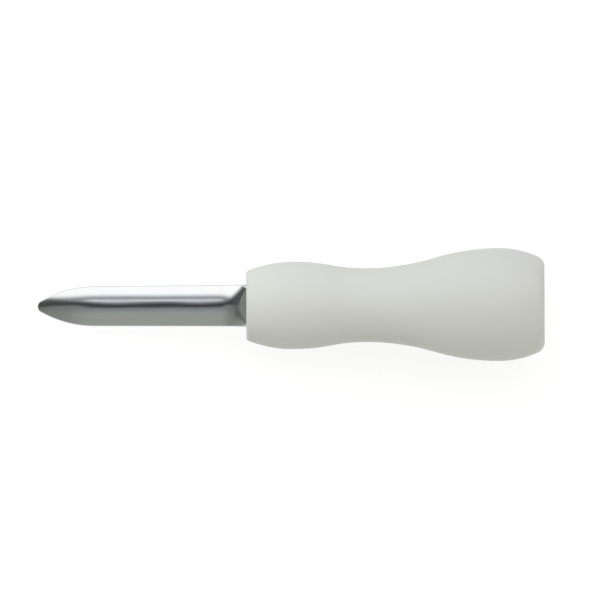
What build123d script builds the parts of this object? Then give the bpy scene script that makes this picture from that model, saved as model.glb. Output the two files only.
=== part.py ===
from build123d import *
import os
from math import sqrt

os.makedirs("parts", exist_ok=True)

# Frame
# The origin is the centre of the handle's flat butt. The handle's long axis
# is X, with the butt facing +X and the blade's tip towards -X. The blade lies
# flat: its broad faces look along +Z and -Z, and its edges along +Y and -Y.

# Handle: a turned form, given by its two swells and the waist between them.
# A setback is measured from the nearest end: the front face, where the blade
# comes out, for the front swell and the waist, and the butt for its swell.
handle_length = 110.4
front_swell_setback = 17.5
front_swell_diameter = 32.4
front_nose_radius = 46.0
waist_setback = 44.0
waist_diameter = 27.3
butt_swell_setback = 16.9
butt_swell_diameter = 41.8
butt_shoulder_radius = 35.0
front_rim_rounding = 1.6
butt_rim_rounding = 4.2

# How far from each swell towards the waist its bulge turns into the hollow.
front_turn_share = 0.53
butt_turn_share = 0.48

# Blade: a bar with rounded long edges, cut to a spear outline and then
# ground from both sides to a low crown that leaves a blunt edge all round.
blade_reach = 77.2
heel_width = 15.5
shoulder_width = 14.8
stock_thickness = 3.2
stock_edge_rounding = 1.3
blunt_edge_rounding = 0.2
ogive_radius = 40.0
tip_radius = 2.4

# The grind: how much each side loses along the middle of the blade, what is
# left at the tip and at the blunt edge, and the wheel that lifts the grind
# out of the bar in front of the handle.
heel_grind_depth = 0.4
shoulder_grind_depth = 0.5
tip_thickness = 0.5
edge_thickness = 0.7
wheel_radius = 22.0
run_out_length = 7.0

# Tang: the blade's hidden tail, which the handle is moulded round. The
# plastic flows through its holes and locks the blade in.
tang_root_depth = 5.0
tang_width = 9.6
tang_depth = 74.0
tang_root_rounding = 1.5
tang_end_rounding = 3.0
tang_hole_diameter = 5.0
first_tang_hole_depth = 20.0
tang_hole_spacing = 20.0
tang_hole_count = 3

# How far a cutting form runs past the metal that it cuts.
overrun = 5.0

front_face_x = -handle_length
tip_x = front_face_x - blade_reach
tang_root_x = front_face_x + tang_root_depth
tang_end_x = front_face_x + tang_depth


def is_blunt_edge(edge):
    """True for an edge that runs along the blade's rim, clear of the bar's own faces."""
    box = edge.bounding_box()
    height = max(abs(box.min.Z), abs(box.max.Z))
    in_front = box.max.X < front_face_x - blunt_edge_rounding
    along = box.size.X > blunt_edge_rounding
    return in_front and along and height < stock_thickness / 2 - blunt_edge_rounding


# Blade

with BuildPart() as blade:
    # The bar, with its four long edges rounded.
    with BuildSketch(Plane.YZ.offset(tip_x)):
        RectangleRounded(heel_width, stock_thickness, stock_edge_rounding)
    extrude(amount=blade_reach + tang_depth)

    # The outline: a round tip, two long curved sides that meet it, edges
    # that spread a little towards the handle, a square root and the tang.
    tip_centre = Vector(tip_x + tip_radius, 0)
    side_rise = ogive_radius - shoulder_width / 2
    side_run = sqrt((ogive_radius - tip_radius) ** 2 - side_rise**2)
    side_centre = Vector(tip_centre.X + side_run, -side_rise)
    tip_joint = tip_centre + (tip_centre - side_centre).normalized() * tip_radius
    with BuildSketch() as outline:
        with BuildLine():
            tip_arc = TangentArc((tip_x, 0), tip_joint, tangent=(0, 1))
            side_arc = TangentArc(tip_joint, (side_centre.X, shoulder_width / 2), tangent=tip_arc % 1)
            Polyline(
                side_arc @ 1,
                (front_face_x, heel_width / 2),
                (tang_root_x, heel_width / 2),
                (tang_root_x, tang_width / 2),
                (tang_end_x, tang_width / 2),
                (tang_end_x, 0),
            )
            mirror(about=Plane.XZ)
        make_face()
        tang_end_corners = outline.vertices().group_by(Axis.X)[-1].sort_by(Axis.Y)
        fillet([tang_end_corners[0], tang_end_corners[-1]], tang_end_rounding)
        tang_root_corners = outline.vertices().sort_by(lambda corner: abs(corner.X - tang_root_x))[:4]
        fillet(tang_root_corners.sort_by(Axis.Y)[1:3], tang_root_rounding)
    extrude(amount=stock_thickness, both=True, mode=Mode.INTERSECT)

    # The grind: each broad face is a shallow crown turned about an axis far
    # on the other side. Its profile follows the middle of the face: along
    # the blade, down to the tip, and up the wheel's curve near the handle.
    heel_height = stock_thickness / 2 - heel_grind_depth
    shoulder_height = stock_thickness / 2 - shoulder_grind_depth
    crown_drop = heel_height - edge_thickness / 2
    crown_radius = ((heel_width / 2) ** 2 + crown_drop**2) / (2 * crown_drop)
    crown_axis_height = heel_height - crown_radius
    run_out_x = front_face_x - run_out_length
    run_out_rise = wheel_radius - sqrt(wheel_radius**2 - run_out_length**2)
    for side in (1, -1):
        with BuildSketch(Plane.XZ):
            with BuildLine():
                taper = Line((run_out_x, side * heel_height), (side_centre.X, side * shoulder_height))
                tip_fall = TangentArc(taper @ 1, (tip_x, side * tip_thickness / 2), tangent=taper % 1)
                run_out = TangentArc(
                    taper @ 0, (front_face_x, side * (heel_height + run_out_rise)), tangent=(1, 0)
                )
                Polyline(
                    run_out @ 1,
                    (tang_end_x + overrun, (run_out @ 1).Y),
                    (tang_end_x + overrun, side * crown_axis_height),
                    (tip_x - overrun, side * crown_axis_height),
                    (tip_x - overrun, (tip_fall @ 1).Y),
                    tip_fall @ 1,
                )
            make_face()
        revolve(axis=Axis((0, 0, side * crown_axis_height), (1, 0, 0)), mode=Mode.INTERSECT)
    fillet(blade.edges().filter_by(is_blunt_edge), blunt_edge_rounding)

    # The holes down the middle of the tang.
    tang_middle_hole_x = front_face_x + first_tang_hole_depth + (tang_hole_count - 1) * tang_hole_spacing / 2
    with Locations((tang_middle_hole_x, 0, stock_thickness / 2)):
        with GridLocations(tang_hole_spacing, 0, tang_hole_count, 1):
            Hole(tang_hole_diameter / 2)

blade.part.label = "blade"
export_step(blade.part, "parts/blade.step")


# Handle

with BuildPart() as handle:
    front_swell = Vector(front_face_x + front_swell_setback, front_swell_diameter / 2)
    waist = Vector(front_face_x + waist_setback, waist_diameter / 2)
    butt_swell = Vector(-butt_swell_setback, butt_swell_diameter / 2)

    # Two arcs that are level at a swell and at the waist meet smoothly at
    # any point of the straight line between the swell and the waist.
    front_turn = front_swell + (waist - front_swell) * front_turn_share
    butt_turn = butt_swell + (waist - butt_swell) * butt_turn_share

    # Where the end arcs reach the flat front face and the flat butt.
    front_fall = front_nose_radius - sqrt(front_nose_radius**2 - front_swell_setback**2)
    butt_fall = butt_shoulder_radius - sqrt(butt_shoulder_radius**2 - butt_swell_setback**2)
    front_rim = Vector(front_face_x, front_swell.Y - front_fall)
    butt_rim = Vector(0, butt_swell.Y - butt_fall)

    with BuildSketch() as profile:
        with BuildLine():
            TangentArc(front_swell, front_rim, tangent=(-1, 0))
            TangentArc(front_swell, front_turn, tangent=(1, 0))
            TangentArc(waist, front_turn, tangent=(-1, 0))
            TangentArc(waist, butt_turn, tangent=(1, 0))
            TangentArc(butt_swell, butt_turn, tangent=(-1, 0))
            TangentArc(butt_swell, butt_rim, tangent=(1, 0))
            Polyline(butt_rim, (0, 0), (front_face_x, 0), front_rim)
        make_face()
        fillet(profile.vertices().group_by(Axis.X)[-1].sort_by(Axis.Y)[-1], butt_rim_rounding)
        fillet(profile.vertices().group_by(Axis.X)[0].sort_by(Axis.Y)[-1], front_rim_rounding)
    revolve(axis=Axis.X)

    # The room that the moulded plastic leaves for the blade's root and tang.
    add(blade.part, mode=Mode.SUBTRACT)

handle.part.label = "handle"
export_step(handle.part, "parts/handle.step")

print("crown radius", round(crown_radius, 2), "ogive run", round(side_centre.X - tip_x, 2))
print("overall length", round(handle_length + blade_reach, 2))
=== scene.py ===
# %% [markdown]
# # An oyster knife
#
# The real thing is a stubby spear of stainless steel with blunt edges, strong
# enough to pry a shell open, and a fat off-white plastic handle that is
# moulded straight onto the blade's hidden tail. It has two pieces and nothing
# on it moves.
#
# The CAD model says where everything is. It could be shown as it is, but its
# flat facets would break the long reflections that polished steel lives on.
# So this file builds the same two forms again as fine meshes, gives them their
# finishes, and lays the knife under a soft studio light, seen from above.

# %% Load the frame
import math

import bmesh
import bpy
import numpy as np
from mathutils import Euler, Matrix, Vector, kdtree


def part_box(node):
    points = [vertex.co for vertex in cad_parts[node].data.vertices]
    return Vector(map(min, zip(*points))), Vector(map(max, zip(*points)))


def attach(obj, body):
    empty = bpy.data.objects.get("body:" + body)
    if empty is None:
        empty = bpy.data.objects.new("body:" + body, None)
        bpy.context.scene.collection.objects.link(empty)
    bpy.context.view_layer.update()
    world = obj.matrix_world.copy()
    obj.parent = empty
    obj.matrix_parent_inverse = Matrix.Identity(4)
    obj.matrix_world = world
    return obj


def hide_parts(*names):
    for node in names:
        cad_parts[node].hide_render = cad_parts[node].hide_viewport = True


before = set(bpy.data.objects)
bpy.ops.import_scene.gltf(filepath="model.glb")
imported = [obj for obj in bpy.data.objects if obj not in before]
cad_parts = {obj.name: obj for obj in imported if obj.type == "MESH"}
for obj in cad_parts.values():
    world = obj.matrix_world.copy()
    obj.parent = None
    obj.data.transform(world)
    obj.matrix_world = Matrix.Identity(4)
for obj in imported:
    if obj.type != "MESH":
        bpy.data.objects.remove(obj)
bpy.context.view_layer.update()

MM = 0.001

# %% [markdown]
# ## Shader maths as Python
#
# A procedural finish is mostly arithmetic on masks: a little rougher here, a
# little darker there. It could be wired by hand, node by node, but that is
# hard to read. Here one small class wraps a socket, so that
# `0.12 + 0.05 * streaks` adds its own Math nodes, and every other node comes
# from one method that takes its type, its settings and its sockets.


# %% A socket that does arithmetic
class Signal:
    """One output socket of a node. Arithmetic on it adds Math nodes."""

    def __init__(self, graph, socket):
        self.graph = graph
        self.socket = socket

    def out(self, name):
        """Another output of the same node."""
        return Signal(self.graph, self.socket.node.outputs[name])

    def __add__(self, other):
        return self.graph.maths("ADD", self, other)

    def __radd__(self, other):
        return self.graph.maths("ADD", other, self)

    def __sub__(self, other):
        return self.graph.maths("SUBTRACT", self, other)

    def __rsub__(self, other):
        return self.graph.maths("SUBTRACT", other, self)

    def __mul__(self, other):
        return self.graph.maths("MULTIPLY", self, other)

    def __rmul__(self, other):
        return self.graph.maths("MULTIPLY", other, self)

    def __neg__(self):
        return self.graph.maths("MULTIPLY", self, -1.0)

    def __abs__(self):
        return self.graph.maths("ABSOLUTE", self, 0.0)


print("a socket can be added, subtracted, multiplied, negated and made positive")


# %% A node tree that is written, not wired
class Graph:
    """The node tree of one material or of the world."""

    def __init__(self, owner):
        owner.use_nodes = True
        self.tree = owner.node_tree
        self.tree.nodes.clear()

    def node(self, kind, settings=None, sockets=None, output=0):
        """Adds a node: its settings first, then its sockets' values or links."""
        made = self.tree.nodes.new(kind)
        for name, value in (settings or {}).items():
            setattr(made, name, value)
        for name, value in (sockets or {}).items():
            if isinstance(value, Signal):
                self.tree.links.new(value.socket, made.inputs[name])
            else:
                made.inputs[name].default_value = value
        return Signal(self, made.outputs[output]) if made.outputs else None

    def maths(self, operation, first, second):
        """A number worked out from two others."""
        return self.node("ShaderNodeMath", {"operation": operation}, {0: first, 1: second})

    def smooth_step(self, value, low, high):
        """0 below low, 1 above high, and a smooth rise between them."""
        return self.node(
            "ShaderNodeMapRange",
            {"interpolation_type": "SMOOTHSTEP"},
            {"Value": value, "From Min": low, "From Max": high},
        )

    def soft_edge(self, value, place, softness):
        """0 before the place and 1 past it. The place may itself vary."""
        return self.smooth_step(value - place, -softness, softness)

    def blend(self, share, first, second):
        """A colour between first and second."""
        return self.node(
            "ShaderNodeMix",
            {"data_type": "RGBA"},
            {0: share, 6: first, 7: second},
            output=2,
        )

    def grain(self, place, stretch, detail=2.0, turn=0.0):
        """Noise whose grains are stretched: stretch is grains per metre along X, Y and Z."""
        turned = self.node(
            "ShaderNodeMapping",
            {"vector_type": "POINT"},
            {"Vector": place, "Rotation": Euler((0.0, 0.0, turn)), "Scale": stretch},
        )
        return self.node("ShaderNodeTexNoise", None, {"Vector": turned, "Scale": 1.0, "Detail": detail})


print("node trees can be written")

# %% [markdown]
# ## Curves and solids in code
#
# Both forms are made of arcs that flow into each other. An arc that leaves a
# point in a given direction and ends at another point is fixed by those two
# facts alone, so one helper draws every curve of the knife, in millimetres.
# A second helper turns points and faces into a closed mesh and welds what
# meets, and a third cuts one solid out of another.


# %% Arcs and straight runs
def tangent_arc(start, direction, end, steps):
    """Points of the arc that leaves start in that direction and ends at end."""
    start, direction, end = (np.array(value, float) for value in (start, direction, end))
    normal = np.array([-direction[1], direction[0]]) / np.linalg.norm(direction)
    chord = end - start
    radius = chord @ chord / (2 * chord @ normal)
    centre = start + normal * radius
    first = math.atan2(start[1] - centre[1], start[0] - centre[0])
    last = math.atan2(end[1] - centre[1], end[0] - centre[0])
    turn = (last - first + math.pi) % (2 * math.pi) - math.pi
    angles = first + turn * np.linspace(0, 1, steps + 1)
    return centre + abs(radius) * np.stack([np.cos(angles), np.sin(angles)], axis=1)


def straight(start, end, step):
    """Points of a straight run, about one step apart."""
    start, end = np.array(start, float), np.array(end, float)
    count = max(1, round(np.linalg.norm(end - start) / step))
    return start + (end - start) * np.linspace(0, 1, count + 1)[:, None]


def join_runs(*runs):
    """One line through several runs, each of which starts where the last ended."""
    return np.concatenate([runs[0]] + [run[1:] for run in runs[1:]])


trial = join_runs(straight((0, 0), (0, 2), step=1), tangent_arc((0, 2), (0, 1), (1, 3), steps=2))
print("a run that turns through a quarter circle:", trial.round(2).tolist())

# %% Solids and cuts
sharp_angle = math.radians(35)
weld_distance = 1e-8


def grid_faces(rows, columns, first=0, closed=False):
    """Quads between the points of a grid, row by row."""
    faces = []
    for row in range(rows - 1):
        for column in range(columns if closed else columns - 1):
            here = first + row * columns + column
            beside = first + row * columns + (column + 1) % columns
            faces.append((here, beside, beside + columns, here + columns))
    return faces


def make_solid(name, points, faces):
    """A closed, smooth-shaded mesh from points in mm, with coincident points welded."""
    mesh = bpy.data.meshes.new(name)
    mesh.from_pydata((np.asarray(points) * MM).tolist(), [], faces)
    work = bmesh.new()
    work.from_mesh(mesh)
    bmesh.ops.remove_doubles(work, verts=work.verts, dist=weld_distance)
    bmesh.ops.dissolve_degenerate(work, edges=work.edges, dist=weld_distance)
    bmesh.ops.recalc_face_normals(work, faces=work.faces)
    open_edges = sum(not edge.is_manifold for edge in work.edges)
    volume = work.calc_volume() / MM**3
    work.to_mesh(mesh)
    work.free()
    mesh.shade_smooth()
    mesh.set_sharp_from_angle(angle=sharp_angle)
    piece = bpy.data.objects.new(name, mesh)
    bpy.context.scene.collection.objects.link(piece)
    print(f"{name}: {len(mesh.vertices)} points, {open_edges} open edges, {volume:.0f} mm3")
    return piece


def cut_out(piece, cutter):
    """Cuts the cutter's form out of the piece and keeps the plain mesh that is left."""
    cut = piece.modifiers.new("cut", "BOOLEAN")
    cut.operation = "DIFFERENCE"
    cut.solver = "EXACT"
    cut.object = cutter
    evaluated = piece.evaluated_get(bpy.context.evaluated_depsgraph_get())
    mesh = bpy.data.meshes.new_from_object(evaluated)
    piece.modifiers.clear()
    piece.data = mesh
    mesh.set_sharp_from_angle(angle=sharp_angle)
    print(f"{piece.name}: {len(mesh.vertices)} points after the cut")


print("edges sharper than", round(math.degrees(sharp_angle)), "degrees will be shaded sharp")

# %% [markdown]
# ## The blade's outline
#
# A real blade of this kind starts as a flat bar. The smith cuts a spear
# outline: a small round tip, two long curved sides, edges that spread a
# little towards the handle, a square root and a narrower tang with holes for
# the plastic. Only half of the outline is drawn here, from the tip to the end
# of the tang, because the other half is its mirror image. Its points lie
# closer together in front of the handle, where the grinding wheel left its
# short curve.

# %% Measures of the blade, the same as in the CAD source
blade_low, blade_high = (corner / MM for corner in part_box("blade"))
handle_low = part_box("handle")[0] / MM
tip_x = blade_low.x
front_face_x = handle_low.x
tang_end_x = blade_high.x
heel_half_width = (blade_high.y - blade_low.y) / 2
stock_half_thickness = (blade_high.z - blade_low.z) / 2

shoulder_half_width = 7.4
ogive_radius = 40.0
tip_radius = 2.4
tang_root_depth = 5.0
tang_root_x = front_face_x + tang_root_depth
tang_half_width = 4.8
tang_root_rounding = 1.5
tang_end_rounding = 3.0

print("tip, front face and tang end at", round(tip_x, 2), round(front_face_x, 2), round(tang_end_x, 2))

# %% Corners and joints of half of the outline
root_corner_rounding = 0.2
close_points_length = 9.0

tip_centre = np.array([tip_x + tip_radius, 0.0])
side_rise = ogive_radius - shoulder_half_width
side_run = math.sqrt((ogive_radius - tip_radius) ** 2 - side_rise**2)
side_centre = tip_centre + np.array([side_run, -side_rise])
shoulder_x = side_centre[0]
tip_joint = tip_centre + (tip_centre - side_centre) / np.linalg.norm(tip_centre - side_centre) * tip_radius
along_side = np.array([tip_joint[1] - side_centre[1], side_centre[0] - tip_joint[0]])

shoulder = np.array([shoulder_x, shoulder_half_width])
heel = np.array([front_face_x, heel_half_width])
close_points_start = heel + (shoulder - heel) * close_points_length / (front_face_x - shoulder_x)

back = np.array([-1.0, 0.0])
down = np.array([0.0, -1.0])
root_corner = np.array([tang_root_x, heel_half_width])
inner_corner = np.array([tang_root_x, tang_half_width])
end_corner = np.array([tang_end_x, tang_half_width])
root_rounding_start = root_corner + back * root_corner_rounding
root_rounding_end = root_corner + down * root_corner_rounding
inner_rounding_start = inner_corner - down * tang_root_rounding
inner_rounding_end = inner_corner - back * tang_root_rounding
end_rounding_start = end_corner + back * tang_end_rounding
end_rounding_end = end_corner + down * tang_end_rounding
print("the curved side meets the straight edge at x =", round(shoulder_x, 2))

# %% Half of the blade's outline
outline = join_runs(
    tangent_arc((tip_x, 0), (0, 1), tip_joint, steps=18),
    tangent_arc(tip_joint, along_side, shoulder, steps=60),
    straight(shoulder, close_points_start, step=0.6),
    straight(close_points_start, heel, step=0.12),
    straight(heel, root_rounding_start, step=0.8),
    tangent_arc(root_rounding_start, (1, 0), root_rounding_end, steps=4),
    straight(root_rounding_end, inner_rounding_start, step=0.3),
    tangent_arc(inner_rounding_start, (0, -1), inner_rounding_end, steps=8),
    straight(inner_rounding_end, end_rounding_start, step=2.0),
    tangent_arc(end_rounding_start, (1, 0), end_rounding_end, steps=10),
    straight(end_rounding_end, (tang_end_x, 0), step=0.4),
)
print(len(outline), "points on half of the outline")

# %% [markdown]
# ## The blade's faces
#
# Each broad face is ground to a low crown, so it is a slice of a slim
# spindle: thickest along the middle, thin and blunt at the edges, falling
# away to the tip. In front of the handle the wheel leaves the bar along a
# short arc. A real wheel doesn't start that arc with a kink, so it is eased in
# here, and the reflection bends where it would otherwise break. Behind the arc
# stands the bar itself, with its rounded long edges.
#
# A subdivision cage could only come near to this, but a formula hits it: the
# height at any point is the lower of the ground crown and the bar. Where they
# meet, a smooth minimum leaves the slightly buffed crease of polished metal.

# %% Measures of the grind
stock_edge_rounding = 1.3
blunt_edge_rounding = 0.3
heel_grind_depth = 0.4
shoulder_grind_depth = 0.5
heel_height = stock_half_thickness - heel_grind_depth
shoulder_height = stock_half_thickness - shoulder_grind_depth
tip_height = 0.25
edge_height = 0.35
crease_softness = 0.10

wheel_radius = 22.0
run_out_length = 7.0
eased_run_out_length = 6.4
run_out_softness = 2.8
run_out_x = front_face_x - run_out_length
eased_run_out_x = front_face_x - eased_run_out_length
wheel_reach_limit = 0.9 * wheel_radius

crown_drop = heel_height - edge_height
crown_radius = (heel_half_width**2 + crown_drop**2) / (2 * crown_drop)
crown_axis_height = heel_height - crown_radius
print("the crown's radius is", round(crown_radius, 2), "mm")

# %% The line along the middle of the ground face
fall = (heel_height - shoulder_height) / (run_out_x - shoulder_x)
middle_line = join_runs(
    tangent_arc((shoulder_x, shoulder_height), (-1, -fall), (tip_x, tip_height), steps=80)[::-1],
    straight((shoulder_x, shoulder_height), (run_out_x, heel_height), step=1.0),
)


def middle_height(x):
    """Height of the ground crown along the middle of the blade."""
    ground = np.interp(x, middle_line[:, 0], middle_line[:, 1])
    reach = run_out_softness * np.logaddexp(0, (x - eased_run_out_x) / run_out_softness)
    reach = np.minimum(reach, wheel_reach_limit)
    return ground + wheel_radius - np.sqrt(wheel_radius**2 - reach**2)


print("the wheel lifts", round(float(middle_height(front_face_x)) - heel_height, 2), "mm at the handle")


# %% Height of the steel above its middle plane
def bar_height(y):
    """Height of the bar, which has rounded long edges."""
    over = np.clip(np.abs(y) - (heel_half_width - stock_edge_rounding), 0, stock_edge_rounding)
    return stock_half_thickness - stock_edge_rounding + np.sqrt(stock_edge_rounding**2 - over**2)


def crown_height(x, y):
    """Height of the ground face: a circle about a far axis, at every x."""
    radius = crown_radius + middle_height(x) - heel_height
    return crown_axis_height + np.sqrt(radius**2 - np.minimum(np.abs(y), heel_half_width) ** 2)


def rim_drop(inset):
    """How far the rounding of the blunt edge lies below the face, at an inset from the outline."""
    left = np.clip(blunt_edge_rounding - inset, 0, blunt_edge_rounding)
    return blunt_edge_rounding - np.sqrt(blunt_edge_rounding**2 - left**2)


def steel_height(x, y, inset):
    """The lower of the ground face and the bar, with a softened crease."""
    ground = crown_height(x, y) - rim_drop(inset)
    bar = bar_height(y)
    share = np.clip(0.5 + (bar - ground) / (2 * crease_softness), 0, 1)
    return bar + (ground - bar) * share - crease_softness * share * (1 - share)


for spot in (tip_x + tip_radius, shoulder_x, run_out_x, front_face_x):
    thickness = 2 * float(steel_height(spot, 0.0, inset=blunt_edge_rounding))
    print(f"x {spot:.1f}: {thickness:.2f} mm thick in the middle")

# %% [markdown]
# ## The blade's skin
#
# The skin is a fan of rows. Each row starts on the outline and runs to a
# point on the middle line. Those points are the outline's own x values,
# smoothed along the outline, so the rows stand square to the blade along its
# straight part and swing round evenly at the tip. The rows are finely divided
# at the rim, where the metal turns fast, and evenly further in. Four mirrored
# quarters make the closed form.
#
# A hand-held grind is never quite true, so the faces wander by about a
# hundredth of a millimetre and twist by a few hundredths at the very tip. That
# is enough to make the reflections waver as they do on the real blade.

# %% Points on the middle line, one for each point of the outline
smoothing_length = 2.5
smoothing_reach = 4 * smoothing_length
smoothing_step = 0.1
steps_along = np.linalg.norm(np.diff(outline, axis=0), axis=1)
lengths = np.concatenate([[0], np.cumsum(steps_along)])
fine = np.arange(-smoothing_reach, lengths[-1] + smoothing_reach, smoothing_step)
folded = np.where(fine > lengths[-1], 2 * lengths[-1] - fine, np.abs(fine))
fine_x = np.interp(folded, lengths, outline[:, 0])
weights = np.exp(-0.5 * ((fine[None, :] - lengths[:, None]) / smoothing_length) ** 2)
spine_x = weights @ fine_x / weights.sum(axis=1)
spine = np.stack([spine_x, np.zeros_like(spine_x)], axis=1)
print("the middle line's points run from x =", round(spine_x.min(), 2), "to", round(spine_x.max(), 2))

# %% Rows from the outline to the middle line
tangents = np.gradient(outline, axis=0)
tangents[0] = (0, 1)
tangents[-1] = (0, -1)
outward = np.stack([-tangents[:, 1], tangents[:, 0]], axis=1)
outward /= np.linalg.norm(outward, axis=1)[:, None]

rim_depths = np.array([0, 0.015, 0.04, 0.08, 0.13, 0.2, 0.3, 0.45, 0.65, 0.9, 1.15, 1.4])
inner_depths = np.linspace(rim_depths[-1], shoulder_half_width, 21)[1:]
shares = np.concatenate([rim_depths, inner_depths]) / shoulder_half_width
rows = outline[:, None, :] + (spine - outline)[:, None, :] * shares[None, :, None]
insets = -((rows - outline[:, None, :]) * outward[:, None, :]).sum(axis=2)
print("rows:", rows.shape[0], "points in a row:", rows.shape[1])

# %% The wander of the grind
wave_height = 0.0063
wave_length = 29.6
wave_crest = 15.8
wave_offset = 0.9
tipping_slope = 0.0012
tipping_length = 15.5
twist_slope = 0.020
twist_length = 4.2
fade_from_tip = 12.0
fade_to_run_out = 8.0
reach_into_run_out = 2.0
wander_end_x = run_out_x + reach_into_run_out


def wander(x, y, face):
    """The grind's error: a long, low wave beside the middle line, a slight tipping, a twist at the tip."""
    from_tip = x - tip_x
    side = y * face
    wave = wave_height * np.cos(2 * math.pi * (from_tip - wave_crest) / wave_length)
    wave = wave * np.tanh((side - wave_offset) / wave_offset)
    tipping = tipping_slope * side * np.sin(2 * math.pi * from_tip / tipping_length)
    inside = np.clip(1 - (y / shoulder_half_width) ** 2, 0, 1)
    past_tip = np.clip(from_tip / fade_from_tip, 0, 1)
    before_run_out = np.clip((wander_end_x - x) / fade_to_run_out, 0, 1)
    twist = -twist_slope * side * np.exp(-((from_tip / twist_length) ** 2))
    return (wave + tipping) * inside * past_tip * before_run_out + twist


furthest = np.abs(wander(rows[:, :, 0], rows[:, :, 1], face=1)).max()
print("the faces wander by up to", round(float(furthest), 3), "mm")

# %% The blade as one closed mesh
points = []
faces = []
for face in (1, -1):
    for hand in (1, -1):
        x = rows[:, :, 0]
        y = rows[:, :, 1] * hand
        z = steel_height(x, y, insets) + wander(x, y, face)
        edge = np.stack([x[:, :1], y[:, :1], np.zeros_like(x[:, :1])], axis=2)
        skin = np.concatenate([edge, np.stack([x, y, z * face], axis=2)], axis=1)
        faces += grid_faces(skin.shape[0], skin.shape[1], first=sum(len(part) for part in points))
        points.append(skin.reshape(-1, 3))
blade = make_solid("spear_blade", np.concatenate(points), faces)

# %% [markdown]
# ## The holes in the tang
#
# Plastic flows through these holes and locks the handle on, so no pin is
# needed. They could be part of the grid of points, but the grid would have to
# bend round them. They are out of sight, in a flat part of the steel, so
# drilling them with a Boolean is simpler and costs the visible skin nothing.

# %% Drill the tang
tang_hole_radius = 2.5
tang_hole_depths = (20.0, 40.0, 60.0)
drill_sides = 48
drill = bmesh.new()
for depth in tang_hole_depths:
    bmesh.ops.create_cone(
        drill,
        cap_ends=True,
        segments=drill_sides,
        radius1=tang_hole_radius * MM,
        radius2=tang_hole_radius * MM,
        depth=4 * stock_half_thickness * MM,
        matrix=Matrix.Translation(((front_face_x + depth) * MM, 0, 0)),
    )
drill_mesh = bpy.data.meshes.new("drill")
drill.to_mesh(drill_mesh)
drill.free()
drill_piece = bpy.data.objects.new("drill", drill_mesh)
bpy.context.scene.collection.objects.link(drill_piece)
cut_out(blade, drill_piece)
bpy.data.objects.remove(drill_piece)

# %% [markdown]
# ## Where the steel is worn, and where it was never ground
#
# The polish is not the same everywhere. The blunt rim and the tip take the
# knocks, and the bar in front of the handle keeps the satin skin of the
# rolling mill. Both could be guessed in the shader from coordinates, but the
# mesh knows them exactly, so each point stores them as a number that the
# finish reads.

# %% Store the wear and the mill skin on the mesh
rim_wear_depth = 0.5
point_wear_length = 9.0
mill_skin_fade = 0.12

outline_tree = kdtree.KDTree(2 * len(outline))
for index, (x, y) in enumerate(np.concatenate([outline, outline * (1, -1)])):
    outline_tree.insert((x, y, 0), index)
outline_tree.balance()

places = np.array([point.co for point in blade.data.vertices]) / MM
rim_distance = np.array([outline_tree.find((x, y, 0))[2] for x, y, z in places])
above = crown_height(places[:, 0], places[:, 1]) - bar_height(places[:, 1])
stored = {
    "rim": np.exp(-rim_distance / rim_wear_depth),
    "mill_skin": np.clip(above / mill_skin_fade, 0, 1),
    "point": np.exp(-(places[:, 0] - tip_x) / point_wear_length),
}
for name, values in stored.items():
    layer = blade.data.attributes.new(name, "FLOAT", "POINT")
    layer.data.foreach_set("value", values.astype(np.float32))
    print(name, "from", round(float(values.min()), 3), "to", round(float(values.max()), 3))

# %% [markdown]
# ## Polished stainless steel
#
# Stainless steel is a plain metal colour, a little cool, and nearly all of its
# look is in how sharply it mirrors. A belt has polished this blade
# lengthwise, so the finish has fine streaks along X, which shift the
# roughness and tilt the surface a little. Crossing hairlines come from use,
# more of them near the tip. Thresholded noise makes them, because a noise
# that is stretched some sixty times longer than wide only just rises above a
# high threshold in thin lines. The mill skin in front of the handle is duller.

# %% Streaks, hairlines and pits
steel = bpy.data.materials.new("polished_stainless")
graph = Graph(steel)
place = graph.node("ShaderNodeTexCoord", output="Object")
rim = graph.node("ShaderNodeAttribute", {"attribute_name": "rim"}, output="Fac")
mill_skin = graph.node("ShaderNodeAttribute", {"attribute_name": "mill_skin"}, output="Fac")
point = graph.node("ShaderNodeAttribute", {"attribute_name": "point"}, output="Fac")

belt_streaks = graph.grain(place, (50, 5200, 5200), detail=3.0)
broad_streaks = graph.grain(place, (25, 900, 900), detail=2.0)
clouds = graph.grain(place, (90, 160, 160), detail=3.0)
patches = graph.grain(place, (60, 330, 330), detail=2.0)
cross_lines = graph.smooth_step(graph.grain(place, (160, 9000, 9000), turn=0.5), 0.66, 0.74)
other_lines = graph.smooth_step(graph.grain(place, (140, 8000, 8000), turn=-0.35), 0.67, 0.75)
hairlines = (cross_lines + other_lines) * (0.12 + 0.7 * point)
mill_pits = graph.grain(place, (1400, 2600, 2600), detail=4.0)
print("steel marks:", len(graph.tree.nodes), "nodes")

# %% Steel finish
bright_steel = (0.620, 0.657, 0.668, 1)
dull_steel = (0.560, 0.595, 0.600, 1)
warm_steel = (0.610, 0.625, 0.610, 1)
worn_steel = (0.650, 0.680, 0.688, 1)
mill_steel = (0.380, 0.395, 0.367, 1)
tone = graph.blend(0.35 * clouds + 0.25 * broad_streaks, bright_steel, dull_steel)
tone = graph.blend(graph.smooth_step(patches, 0.42, 0.66) * 0.6, tone, warm_steel)
tone = graph.blend(0.5 * rim + 0.2 * hairlines, tone, worn_steel)
tone = graph.blend(0.8 * mill_skin, tone, mill_steel)

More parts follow.
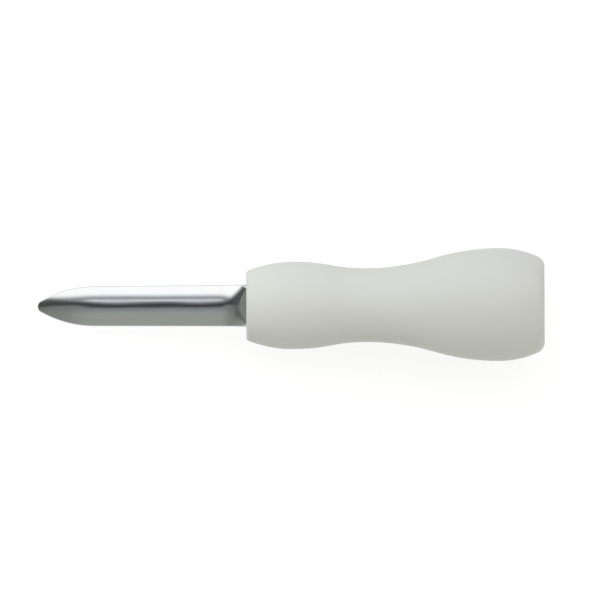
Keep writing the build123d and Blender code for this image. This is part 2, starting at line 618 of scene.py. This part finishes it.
steel_roughness = (
    0.05
    + 0.03 * belt_streaks
    + 0.02 * clouds
    + 0.08 * hairlines
    + 0.04 * rim
    + (0.16 + 0.16 * mill_pits) * mill_skin
)
relief = 0.35 * belt_streaks + 0.4 * hairlines + 1.6 * mill_pits * mill_skin
steel_relief_depth = 0.0012 * MM
normal = graph.node(
    "ShaderNodeBump",
    None,
    {"Height": relief, "Strength": 0.5, "Distance": steel_relief_depth},
    output="Normal",
)
surface = graph.node(
    "ShaderNodeBsdfPrincipled",
    None,
    {"Base Color": tone, "Metallic": 1.0, "Roughness": steel_roughness, "Normal": normal},
)
graph.node("ShaderNodeOutputMaterial", None, {"Surface": surface})
blade.data.materials.clear()
blade.data.materials.append(steel)
print("steel finish:", len(graph.tree.nodes), "nodes")

# %% [markdown]
# ## The handle's profile
#
# The handle is round in section, with a front swell, a waist where finger and
# thumb close, and a larger rear swell for the palm, cut off flat at the butt.
# It could be modelled by scaling rings by hand, but its maker turned the mould
# from one drawn line, and so does this file: arcs that are level at the swells
# and the waist and meet without a kink between them, with a rounded rim at
# each end.

# %% Measures of the handle, the same as in the CAD source
front_swell_setback = 17.5
front_swell_radius = 16.2
waist_setback = 44.0
waist_radius = 13.65
butt_swell_setback = 16.9
butt_swell_radius = 20.9
front_turn_share = 0.53
butt_turn_share = 0.48
front_nose_radius = 46.0
front_rim_rounding = 1.6
butt_shoulder_radius = 35.0
butt_rim_rounding = 4.2

front_swell = np.array([front_face_x + front_swell_setback, front_swell_radius])
waist = np.array([front_face_x + waist_setback, waist_radius])
butt_swell = np.array([-butt_swell_setback, butt_swell_radius])
print("swells and waist:", 2 * front_swell[1], 2 * waist[1], 2 * butt_swell[1], "mm across")


# %% Line of the handle
def rim_corner(face_x, swell, end_radius, rounding):
    """Where a rim's rounding leaves the flat face, and where it meets the end arc."""
    inward = math.copysign(1, swell[0] - face_x)
    arc_centre = swell - np.array([0, end_radius])
    x = face_x + inward * rounding
    y = arc_centre[1] + math.sqrt((end_radius - rounding) ** 2 - (x - arc_centre[0]) ** 2)
    centre = np.array([x, y])
    meeting = arc_centre + (centre - arc_centre) * end_radius / (end_radius - rounding)
    return np.array([face_x, y]), meeting


front_turn = front_swell + (waist - front_swell) * front_turn_share
butt_turn = butt_swell + (waist - butt_swell) * butt_turn_share
front_rim, front_meeting = rim_corner(front_face_x, front_swell, front_nose_radius, front_rim_rounding)
butt_rim, butt_meeting = rim_corner(0.0, butt_swell, butt_shoulder_radius, butt_rim_rounding)
body_line = join_runs(
    tangent_arc(front_rim, (0, 1), front_meeting, steps=12),
    tangent_arc(front_swell, (-1, 0), front_meeting, steps=24)[::-1],
    tangent_arc(front_swell, (1, 0), front_turn, steps=22),
    tangent_arc(waist, (-1, 0), front_turn, steps=20)[::-1],
    tangent_arc(waist, (1, 0), butt_turn, steps=24),
    tangent_arc(butt_swell, (-1, 0), butt_turn, steps=26)[::-1],
    tangent_arc(butt_swell, (1, 0), butt_meeting, steps=20),
    tangent_arc(butt_rim, (0, 1), butt_meeting, steps=18)[::-1],
)
print("handle line:", len(body_line), "points, largest radius", round(body_line[:, 1].max(), 2))

# %% [markdown]
# ## The moulded body
#
# Two halves of a steel mould close on the blade's tang, and molten
# polypropylene fills them through a gate in the middle of the butt. That
# leaves two honest marks: a hair-fine ridge where the halves met, along both
# sides, and a small sunk disc with the gate's stub. Both are real geometry.
# The skin is turned as a lathe form whose angles crowd together at the ridge.
# It lies a little further inside the CAD surface than the ridge is high, so
# the ridge's crest stays within the CAD size.

# %% Angles that crowd at the ridge
degrees_beside_ridge = [0.0, 0.2, 0.4, 0.65, 1.0, 1.6]
plain_degrees = np.arange(3.0, 91.0, 3.0)
quarter = np.concatenate([degrees_beside_ridge, plain_degrees])
half_turn = np.concatenate([quarter, 180 - quarter[-2::-1]])
turn_angles = np.radians(np.concatenate([half_turn, 180 + half_turn[1:-1]]))
from_ridge = np.minimum(turn_angles % math.pi, math.pi - turn_angles % math.pi)
print(len(turn_angles), "angles in a full turn")

# %% From the front face to the gate mark
# Height above the flat butt, and radius, from the gate mark's rim to its middle.
gate_line = np.array([
    (0.0, 3.2), (0.0, 2.7), (-0.06, 2.55), (-0.24, 2.4), (-0.28, 2.2), (-0.28, 1.0),
    (-0.24, 0.85), (-0.1, 0.78), (-0.06, 0.66), (-0.06, 0.0),
])
flat_step = 0.9
butt_margin = 0.5
face_line = straight((front_face_x, 0), front_rim, step=flat_step)
butt_line = straight(butt_rim, gate_line[0], step=flat_step)
whole_line = join_runs(face_line, body_line, butt_line, gate_line)
on_body = (whole_line[:, 1] >= front_rim[1]) & (whole_line[:, 0] < -butt_margin)
print("whole line:", len(whole_line), "points,", int(on_body.sum()), "of them on the round body")

# %% Turn the handle with its ridge and gate mark
ridge_height = 0.03
ridge_half_width = 0.13
skin_inset = 0.045
radii = whole_line[:, 1:2] - np.where(on_body, skin_inset, 0.0)[:, None]
ridge = ridge_height * np.exp(-((from_ridge[None, :] * radii / ridge_half_width) ** 2))
skin_radii = radii + ridge * on_body[:, None]
skin_x = np.repeat(whole_line[:, :1], len(turn_angles), axis=1)
skin = np.stack([skin_x, skin_radii * np.cos(turn_angles), skin_radii * np.sin(turn_angles)], axis=2)
handle = make_solid(
    "moulded_handle",
    skin.reshape(-1, 3),
    grid_faces(skin.shape[0], skin.shape[1], closed=True),
)

# %% [markdown]
# ## The room for the blade
#
# The plastic sets round the tang and fills its holes, so the hollow in the
# handle has exactly the steel's form. It could be modelled a second time, but
# cutting the finished blade out of the turned body can't get it wrong.

# %% Cut the blade's room out of the plastic
cut_out(handle, blade)

# %% [markdown]
# ## Moulded polypropylene
#
# The handle is one off-white plastic, slightly warm, with a fine matte grain
# from the mould. A flat colour would look like paint, so slow clouds shift
# the tone by about one part in a hundred, and a fine grain breaks up the gloss.
# Use leaves its marks where the knife touches things: the tops of the two
# swells are rubbed smoother, and there are a few shallow scuffs across the
# body. The last few millimetres before the butt are also a little greyer.

# %% Grain, clouds and scuffs
plastic = bpy.data.materials.new("matte_polypropylene")
graph = Graph(plastic)
place = graph.node("ShaderNodeTexCoord", output="Object")

slow_clouds = graph.grain(place, (22, 30, 30), detail=3.0)
fine_specks = graph.grain(place, (1500, 1500, 1500), detail=2.0)
mould_grain = graph.grain(place, (2600, 2600, 2600), detail=3.0)
soft_ripple = graph.grain(place, (260, 260, 260), detail=2.0)
scuffs = graph.smooth_step(graph.grain(place, (3600, 110, 110), turn=0.3), 0.68, 0.76)
long_scuffs = graph.smooth_step(graph.grain(place, (80, 3400, 3400), turn=0.12), 0.69, 0.77)
patches = graph.smooth_step(graph.grain(place, (45, 45, 45), detail=1.0), 0.48, 0.68)
marks = (scuffs + long_scuffs) * patches
print("plastic marks:", len(graph.tree.nodes), "nodes")

# %% Where hands and benches rub it, and the greyer butt end
axes = graph.node("ShaderNodeSeparateXYZ", None, {"Vector": place})
length_wise = axes.out("X")
square_to_axis = graph.node("ShaderNodeVectorMath", {"operation": "MULTIPLY"}, {0: place, 1: (0, 1, 1)})
radius = graph.node("ShaderNodeVectorMath", {"operation": "LENGTH"}, {0: square_to_axis}, output="Value")

rubbed = graph.smooth_step(radius, 15.2 * MM, 16.5 * MM) * (0.4 + 0.6 * slow_clouds)
# The outer surface in the last few millimetres before the butt is made a little greyer.
near_butt = graph.smooth_step(length_wise, -6.0 * MM, -1.0 * MM)
greyer_butt_end = near_butt * graph.smooth_step(radius, 12.0 * MM, 15.5 * MM)
print("plastic wear:", len(graph.tree.nodes), "nodes so far")

# %% Plastic finish
clean_plastic = (0.729, 0.742, 0.715, 1)
warm_plastic = (0.710, 0.720, 0.679, 1)
grey_plastic = (0.640, 0.640, 0.600, 1)
tone = graph.blend(0.7 * slow_clouds, clean_plastic, warm_plastic)
tone = graph.blend(0.10 * fine_specks, tone, grey_plastic)
tone = graph.blend(0.25 * marks + 0.14 * greyer_butt_end, tone, grey_plastic)

plastic_roughness = 0.47 + 0.10 * mould_grain - 0.07 * rubbed + 0.10 * marks
relief = mould_grain + 2.0 * soft_ripple - 1.2 * marks
plastic_relief_depth = 0.012 * MM
normal = graph.node(
    "ShaderNodeBump",
    None,
    {"Height": relief, "Strength": 0.6, "Distance": plastic_relief_depth},
    output="Normal",
)
surface = graph.node(
    "ShaderNodeBsdfPrincipled",
    None,
    {"Base Color": tone, "Roughness": plastic_roughness, "IOR": 1.49, "Normal": normal},
)
graph.node("ShaderNodeOutputMaterial", None, {"Surface": surface})
handle.data.materials.clear()
handle.data.materials.append(plastic)
print("plastic finish:", len(graph.tree.nodes), "nodes")

# %% [markdown]
# ## Hang both pieces on the frame
#
# Nothing moves on this knife, so both pieces ride on the one body. Each
# stands for its CAD solid, which is hidden.

# %% Ride and replace
for piece, node in ((blade, "blade"), (handle, "handle")):
    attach(piece, "root")
    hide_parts(node)
    print(piece.name, "stands for", node)

# %% [markdown]
# ## The table
#
# The knife lies on its two swells. The rear one is larger, so the handle's
# axis tips a little, and the plane under it is the tangent of both circles:
# its normal leans by the difference of the radii over their distance. To the
# camera, and in reflections, the table has to be as white as the page. An
# emission that only those rays see lifts it to white, and the diffuse part
# under it keeps the knife's soft shadow.

# %% Lay a plane under both swells
lean = (butt_swell[1] - front_swell[1]) / (butt_swell[0] - front_swell[0])
table_normal = Vector((lean, 0, math.sqrt(1 - lean**2)))
touch = butt_swell[1] - skin_inset
foot = Vector((butt_swell[0], 0, 0)) - table_normal * touch
table_half_size = 1500.0
along = Vector((table_normal.z, 0, -table_normal.x))
across = Vector((0, 1, 0))
corners = [
    foot + (along * a + across * b) * table_half_size for a, b in ((-1, -1), (1, -1), (1, 1), (-1, 1))
]
table_mesh = bpy.data.meshes.new("table")
table_mesh.from_pydata([corner * MM for corner in corners], [], [(0, 1, 2, 3)])
table = bpy.data.objects.new("table", table_mesh)
bpy.context.scene.collection.objects.link(table)
print("table leans by", round(math.degrees(math.asin(lean)), 2), "degrees")

# %% White paper for the table
lighting_paper = (0.50, 0.50, 0.47, 1)
shaded_paper = (0.26, 0.26, 0.26, 1)
white_lift = 0.83

paper = bpy.data.materials.new("white_paper")
graph = Graph(paper)
rays = graph.node("ShaderNodeLightPath", output="Is Camera Ray")
seen = graph.maths("MAXIMUM", rays, rays.out("Is Glossy Ray"))
seen = graph.maths("MAXIMUM", seen, rays.out("Is Transmission Ray"))
plain = graph.node("ShaderNodeBsdfDiffuse", None, {"Color": lighting_paper})
shaded = graph.node("ShaderNodeBsdfDiffuse", None, {"Color": shaded_paper})
lifted = graph.node("ShaderNodeEmission", None, {"Color": (1, 1, 1, 1), "Strength": white_lift})
white = graph.node("ShaderNodeAddShader", None, {0: shaded, 1: lifted})
surface = graph.node("ShaderNodeMixShader", None, {0: seen, 1: plain, 2: white})
graph.node("ShaderNodeOutputMaterial", None, {"Surface": surface})
table_mesh.materials.append(paper)
print("table finish:", len(graph.tree.nodes), "nodes")

# %% [markdown]
# ## The studio
#
# Polished steel shows the room, so the room has to be right. The dark line
# along the blade is the gap over the table where the camera hangs. Below it
# the steel shows a pale wall on the -Y side, and above it a narrow strip lamp
# and then a large soft light on the +Y side. Area lamps could build all this,
# but their hard outlines and their noise would show in the metal. So the
# world is painted by direction instead, as a few shapes with soft edges, each
# of them a few lines of shader maths. Towards the tip the gap swings over to
# the +Y side, which is what bends the dark line near both ends of the blade.
#
# A place in the studio is one coordinate of a direction, so it runs from 0
# straight overhead to 1 at the horizon, and -1 on the other side.

# %% Where a direction points
world = bpy.data.worlds.new("studio")
bpy.context.scene.world = world
graph = Graph(world)
direction = graph.node("ShaderNodeTexCoord", output="Generated")
axes = graph.node("ShaderNodeSeparateXYZ", None, {"Vector": direction})
to_key = axes.out("Y")
to_butt = axes.out("X")
to_tip = graph.maths("MAXIMUM", -to_butt, 0.0)
off_centre = graph.smooth_step(to_tip, 0.01, 0.10)
far_off = graph.smooth_step(to_tip, 0.08, 0.28)
print("directions:", len(graph.tree.nodes), "nodes")

# %% The gap overhead and the pale wall
gap_level = 0.06
wall_level = 0.41
wall_edge = -0.030
wall_edge_swing = 0.046
wall_edge_softness = 0.025

gap = gap_level + 0.022 * off_centre + 0.040 * far_off
wall = wall_level * (1.0 - 0.37 * off_centre)
wall = wall - 0.22 * far_off * graph.smooth_step(to_key, -0.36, -0.16)
wall_shade = graph.smooth_step(to_key, -0.18, 0.0) * (1.0 - 0.4 * off_centre) * (1.0 - 0.8 * far_off)
wall = wall * (1.0 - 0.47 * wall_shade)
wall_end = wall_edge + wall_edge_swing * graph.smooth_step(to_tip, 0.01, 0.06)
wall = wall * (1.0 - graph.soft_edge(to_key, wall_end, wall_edge_softness))
print("gap and wall:", len(graph.tree.nodes), "nodes so far")

# %% The ceiling, the strip lamp and the soft light
ceiling_level = 0.34
ceiling_edge = 0.056
ceiling_swing = 0.715
ceiling_softness = 0.048
strip_level = 0.60
strip_middle = 0.116
strip_half_width = 0.048
key_level = 1.12
key_edge = 0.213
key_softness = 0.052
least_ceiling_width = 0.047

ceiling_start = ceiling_edge + ceiling_swing * to_tip
ceiling = ceiling_level * graph.soft_edge(to_key, ceiling_start, ceiling_softness)
strip = strip_level * (1.0 - graph.smooth_step(abs(to_key - strip_middle), 0.0, strip_half_width))
strip = strip * (1.0 - graph.smooth_step(to_tip, 0.004, 0.05))
key_start = graph.maths("MAXIMUM", key_edge - 0.03 * off_centre, ceiling_start + least_ceiling_width)
key = key_level * graph.soft_edge(to_key, key_start, key_softness)
overhead = gap + wall + ceiling + strip + key
print("overhead:", len(graph.tree.nodes), "nodes so far")

# %% The walls near the table
tip_end_level = 0.47
butt_end_level = 0.76
key_side_level = 0.98
wall_side_level = 0.82

ends = graph.smooth_step(abs(to_butt), 0.45, 0.80)
end_level = tip_end_level + (butt_end_level - tip_end_level) * graph.smooth_step(to_butt, -0.1, 0.1)
key_side = graph.smooth_step(to_key, 0.45, 0.85)
wall_side = graph.smooth_step(-to_key, 0.40, 0.68)
level = overhead + (key_side_level - overhead) * key_side
level = level + (wall_side_level - level) * wall_side
level = level + (end_level - level) * ends
print("walls:", len(graph.tree.nodes), "nodes so far")

# %% [markdown]
# ## The tints of the room
#
# In the photograph the steel isn't one grey. It is a little blue under the
# camera, a little green where the gap swings away, and yellowish where it
# shows the wall. A single tint on the metal couldn't do that, because it
# would colour every reflection alike, so the light itself is tinted by
# direction, by less than a tenth. The soft light is a little pink, because
# its highlight on the cool steel has to come out white.

# %% Tint the light by direction
cool = (1.0, 1.0, 1.035, 1)
off_centre_tint = (0.965, 1.0, 0.975, 1)
warm = (0.985, 1.0, 0.91, 1)
key_tint = (1.04, 1.0, 0.99, 1)
side_tint = (0.975, 1.0, 1.0, 1)
tint = graph.blend(off_centre, cool, off_centre_tint)
tint = graph.blend(graph.smooth_step(to_key - 0.12 * off_centre, -0.24, -0.04), warm, tint)
tint = graph.blend(graph.smooth_step(to_key, 0.18, 0.28), tint, key_tint)
tint = graph.blend(key_side, tint, side_tint)
room = graph.node("ShaderNodeVectorMath", {"operation": "SCALE"}, {0: tint, "Scale": level})
print("tints:", len(graph.tree.nodes), "nodes so far")

# %% What each kind of ray sees
rays = graph.node("ShaderNodeLightPath", output="Is Camera Ray")
low = 1.0 - graph.smooth_step(axes.out("Z"), 0.1, 0.35)
mirrored = graph.maths("MAXIMUM", rays.out("Is Glossy Ray"), rays.out("Is Transmission Ray")) * low
seen = graph.maths("MAXIMUM", rays, mirrored)
studio_light = graph.node("ShaderNodeBackground", None, {"Color": room, "Strength": 1.0})
white_page = graph.node("ShaderNodeBackground", None, {"Color": (1, 1, 1, 1), "Strength": 1.0})
whole_room = graph.node("ShaderNodeMixShader", None, {0: seen, 1: studio_light, 2: white_page})
graph.node("ShaderNodeOutputWorld", None, {"Surface": whole_room})
print("studio:", len(graph.tree.nodes), "nodes")

# %% [markdown]
# ## A soft box near the tip
#
# Light from the world is the same everywhere, but the real handle is lighter
# at its front swell than at its butt, because one lamp stands close by, beyond
# the tip. Its light falls off along the handle. It is a large soft box, and
# the steel doesn't show it, because on the real set it stands outside what
# the blade can mirror.

# %% Soft box
soft_box_place = Vector((-380.0, 140.0, 175.0)) * MM
lit_spot = Vector((-55.0, 0.0, 0.0)) * MM
soft_box_data = bpy.data.lights.new("soft_box", "AREA")
soft_box_data.shape = "DISK"
soft_box_data.size = 250.0 * MM
soft_box_data.energy = 0.43
soft_box_data.color = (0.975, 1.0, 1.0)
soft_box = bpy.data.objects.new("soft_box", soft_box_data)
soft_box.location = soft_box_place
aim = lit_spot - soft_box_place
soft_box.rotation_euler = aim.to_track_quat("-Z", "Y").to_euler()
soft_box.visible_glossy = False
bpy.context.scene.collection.objects.link(soft_box)
print("soft box", round(aim.length / MM), "mm from the handle")

# %% [markdown]
# ## The camera
#
# The photograph looks straight down on the knife, with the tip to the left
# and the handle rising very slightly to the right. The flat butt shows as one
# straight line, which only a very long lens gives, so the view is parallel.
# One pixel of its 600 is 0.37 mm.

# %% Camera above the knife
pixels_wide = 600
mm_per_pixel = 0.37
camera_place = Vector((-90.5, 2.0, 600.0)) * MM
camera_turn = math.radians(-0.25)
camera_data = bpy.data.cameras.new("camera")
camera_data.type = "ORTHO"
camera_data.ortho_scale = pixels_wide * mm_per_pixel * MM
camera = bpy.data.objects.new("camera", camera_data)
camera.location = camera_place
camera.rotation_euler = (0, 0, camera_turn)
bpy.context.scene.collection.objects.link(camera)
bpy.context.scene.camera = camera
bpy.context.scene.view_settings.view_transform = "Standard"
print("view", round(camera_data.ortho_scale / MM, 1), "mm wide")
